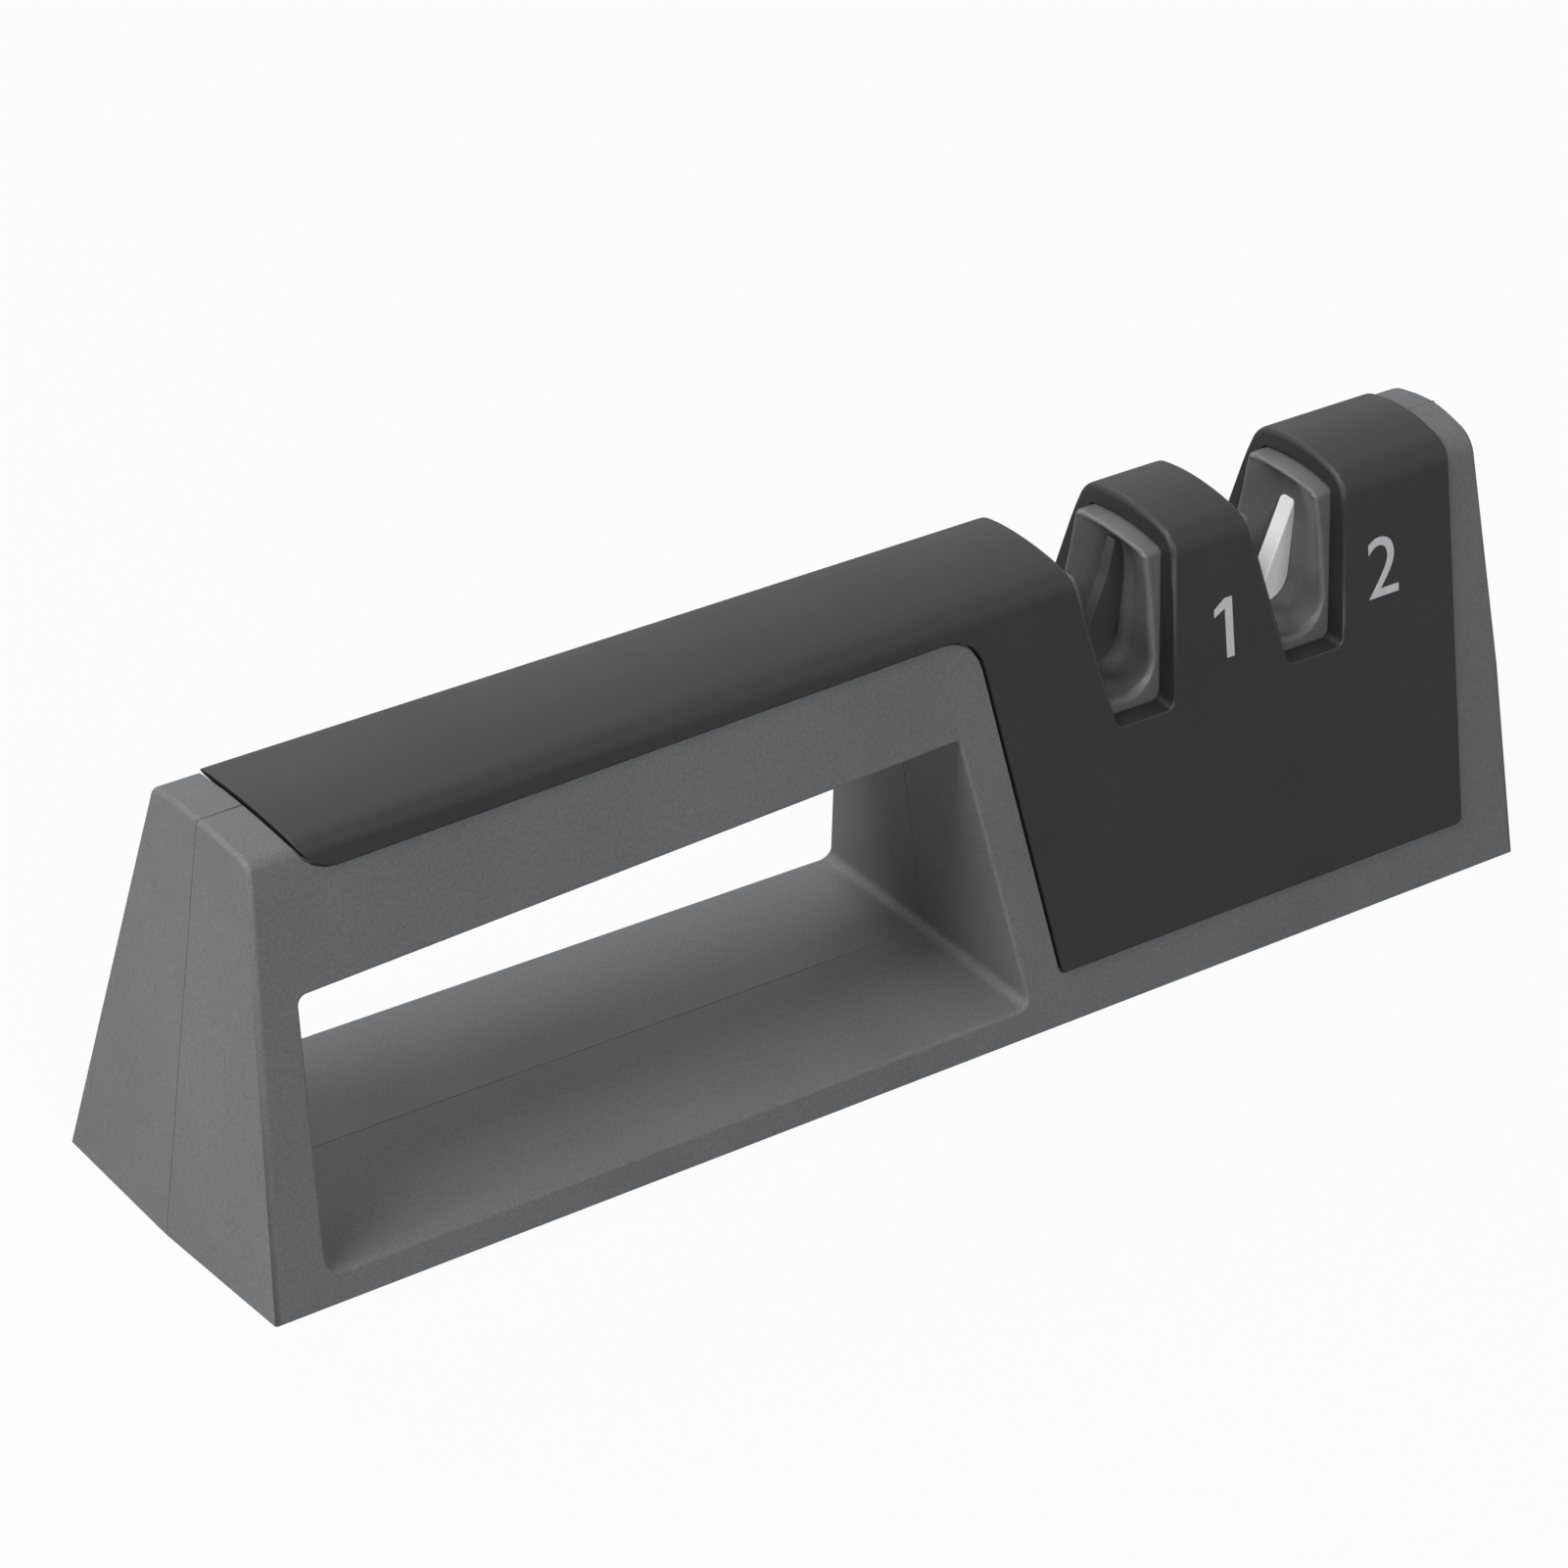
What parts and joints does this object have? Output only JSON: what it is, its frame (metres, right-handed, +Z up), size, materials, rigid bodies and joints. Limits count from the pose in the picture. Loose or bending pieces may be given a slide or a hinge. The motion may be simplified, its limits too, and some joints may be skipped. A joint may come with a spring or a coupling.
{
  "type": "knife sharpener",
  "caption": "Pull through knife sharpener: a long handle over a finger opening, then a head with a coarse carbide slot and a fine ceramic slot.",
  "frame": {"origin": "middle of the length and width, on the table under the rubber base sheet", "axes": "+X along the handle towards the sharpening head, +Y to the rear shell, +Z up; knives are drawn through along Y"},
  "size_m": [0.2066, 0.0476, 0.0627],
  "materials": {
    "shell": "fine spark-textured grey plastic",
    "cover": "fine spark-textured black plastic",
    "insert": "satin dark grey plastic",
    "keeper": "satin dark grey plastic",
    "carbide": "ground dark carbide",
    "ceramic": "fine-grained white fired ceramic",
    "screw": "zinc-plated steel",
    "pad": "matte black rubber"
  },
  "bodies": {
    "root": {"front_shell": "shell", "rear_shell": "shell", "top_cover": "cover", "coarse_insert": "insert", "carbide_blade_front": "carbide", "carbide_blade_rear": "carbide", "coarse_keeper": "keeper", "fine_insert": "insert", "ceramic_bar_front": "ceramic", "ceramic_bar_rear": "ceramic", "fine_keeper": "keeper", "keeper_screws": "screw", "shell_screws": "screw", "base_pad": "pad"}
  },
  "joints": []
}
